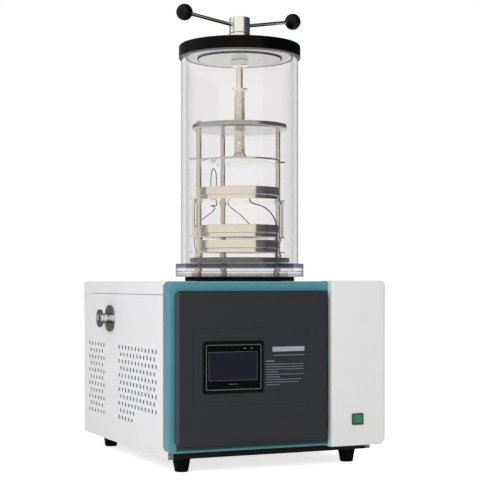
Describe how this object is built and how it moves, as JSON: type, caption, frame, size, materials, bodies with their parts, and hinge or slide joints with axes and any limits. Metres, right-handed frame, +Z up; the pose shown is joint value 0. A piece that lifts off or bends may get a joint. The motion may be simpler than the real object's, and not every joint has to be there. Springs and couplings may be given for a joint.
{
  "type": "benchtop freeze dryer",
  "caption": "Benchtop freeze dryer: box-shaped refrigeration unit with a touch-screen fascia, and a clear top chamber with trays and a screw press turned by a T-handle.",
  "frame": {"origin": "middle of the base of the bounding box, on the surface that the feet stand on", "axes": "+Z up along the chamber, -Y towards the fascia, +X towards the white column on the user's right"},
  "size_m": [0.519, 0.6374, 1.0168],
  "materials": {
    "housing_white": "fine powder coat, satin",
    "fascia_white": "smooth satin moulding",
    "teal": "smooth satin moulding",
    "dark_panel": "fine-grained satin moulding",
    "black_plastic": "smooth satin",
    "knob_black": "polished phenolic",
    "black_metal": "satin paint",
    "rubber": "matt",
    "cable": "smooth sheath",
    "screen": "gloss cover glass",
    "switch_green": "gloss",
    "rocker_green": "gloss, translucent",
    "steel": "polished stainless steel",
    "galvanised": "zinc plated",
    "aluminium": "rolled fins",
    "bronze": "turned",
    "copper": "drawn tube",
    "foam": "closed-cell foam",
    "silicone": "smooth",
    "acrylic": "clear polished acrylic"
  },
  "bodies": {
    "root": {"foot_front_left": "rubber", "foot_front_right": "rubber", "foot_rear_left": "rubber", "foot_rear_right": "rubber", "base_pan": "black_metal", "left_side_panel": "housing_white", "right_side_panel": "housing_white", "rear_panel": "housing_white", "top_cover": "housing_white", "front_bulkhead": "galvanised", "power_inlet": "black_plastic", "fascia_frame": "teal", "control_panel": "dark_panel", "fascia_column": "fascia_white", "screen_bezel": "black_plastic", "screen_glass": "screen", "switch_frame": "switch_green", "vacuum_port": "steel", "vacuum_line": "rubber", "cold_trap_pot": "steel", "evaporator_coil": "copper", "trap_insulation": "foam", "compressor": "black_metal", "condenser_core": "aluminium", "fan_shroud": "galvanised", "controller_box": "galvanised", "base_gasket": "rubber", "chamber_tube": "acrylic", "upper_shelf": "steel", "middle_shelf": "steel", "lower_shelf": "steel", "upper_tray": "steel", "middle_tray": "steel", "lower_tray": "steel", "right_post": "steel", "rear_post": "steel", "left_post": "steel", "rack_base_plate": "steel", "rack_top_plate": "steel", "screw_nut": "bronze", "lid": "black_plastic", "lid_seal": "silicone", "lid_backing_plate": "steel", "shaft_gland": "steel", "gland_nut": "steel", "heater_lead": "cable", "probe_lead": "cable", "ground_lead": "cable", "sensor_lead": "cable"},
    "t_handle": {"handle_hub": "steel", "drive_shaft": "steel", "right_rod": "steel", "left_rod": "steel", "right_knob": "knob_black", "left_knob": "knob_black"},
    "press": {"press_plate": "steel", "screw_foot": "steel"},
    "screw": {"press_screw": "steel"},
    "rocker": {"power_rocker": "rocker_green"},
    "fan": {"fan_rotor": "black_plastic"}
  },
  "joints": [
    {"name": "handle_turn", "type": "hinge", "parent": "root", "child": "t_handle", "pos_m": [0.0095, -0.09154, 0.966], "axis": [0, 0, 1], "range_deg": [-2880, 2160]},
    {"name": "press_slide", "type": "slide", "parent": "root", "child": "press", "axis": [0, 0, 1], "range_m": [-0.0401, 0.0301]},
    {"name": "screw_turn", "type": "hinge", "parent": "press", "child": "screw", "pos_m": [0.0095, -0.09154, 0.766], "axis": [0, 0, 1], "range_deg": [-2881, 2161]},
    {"name": "rocker_tilt", "type": "hinge", "parent": "root", "child": "rocker", "pos_m": [0.1895, -0.31504, 0.102], "axis": [1, 0, 0], "range_deg": [0, 14]},
    {"name": "fan_spin", "type": "hinge", "parent": "root", "child": "fan", "pos_m": [0.1095, 0.23046, 0.1417], "axis": [0, 1, 0], "continuous": true}
  ],
  "couplings": [
    {"joint": "press_slide", "follows": "handle_turn", "m_per_rad": 0.00079577},
    {"joint": "screw_turn", "follows": "handle_turn", "ratio": 1}
  ]
}
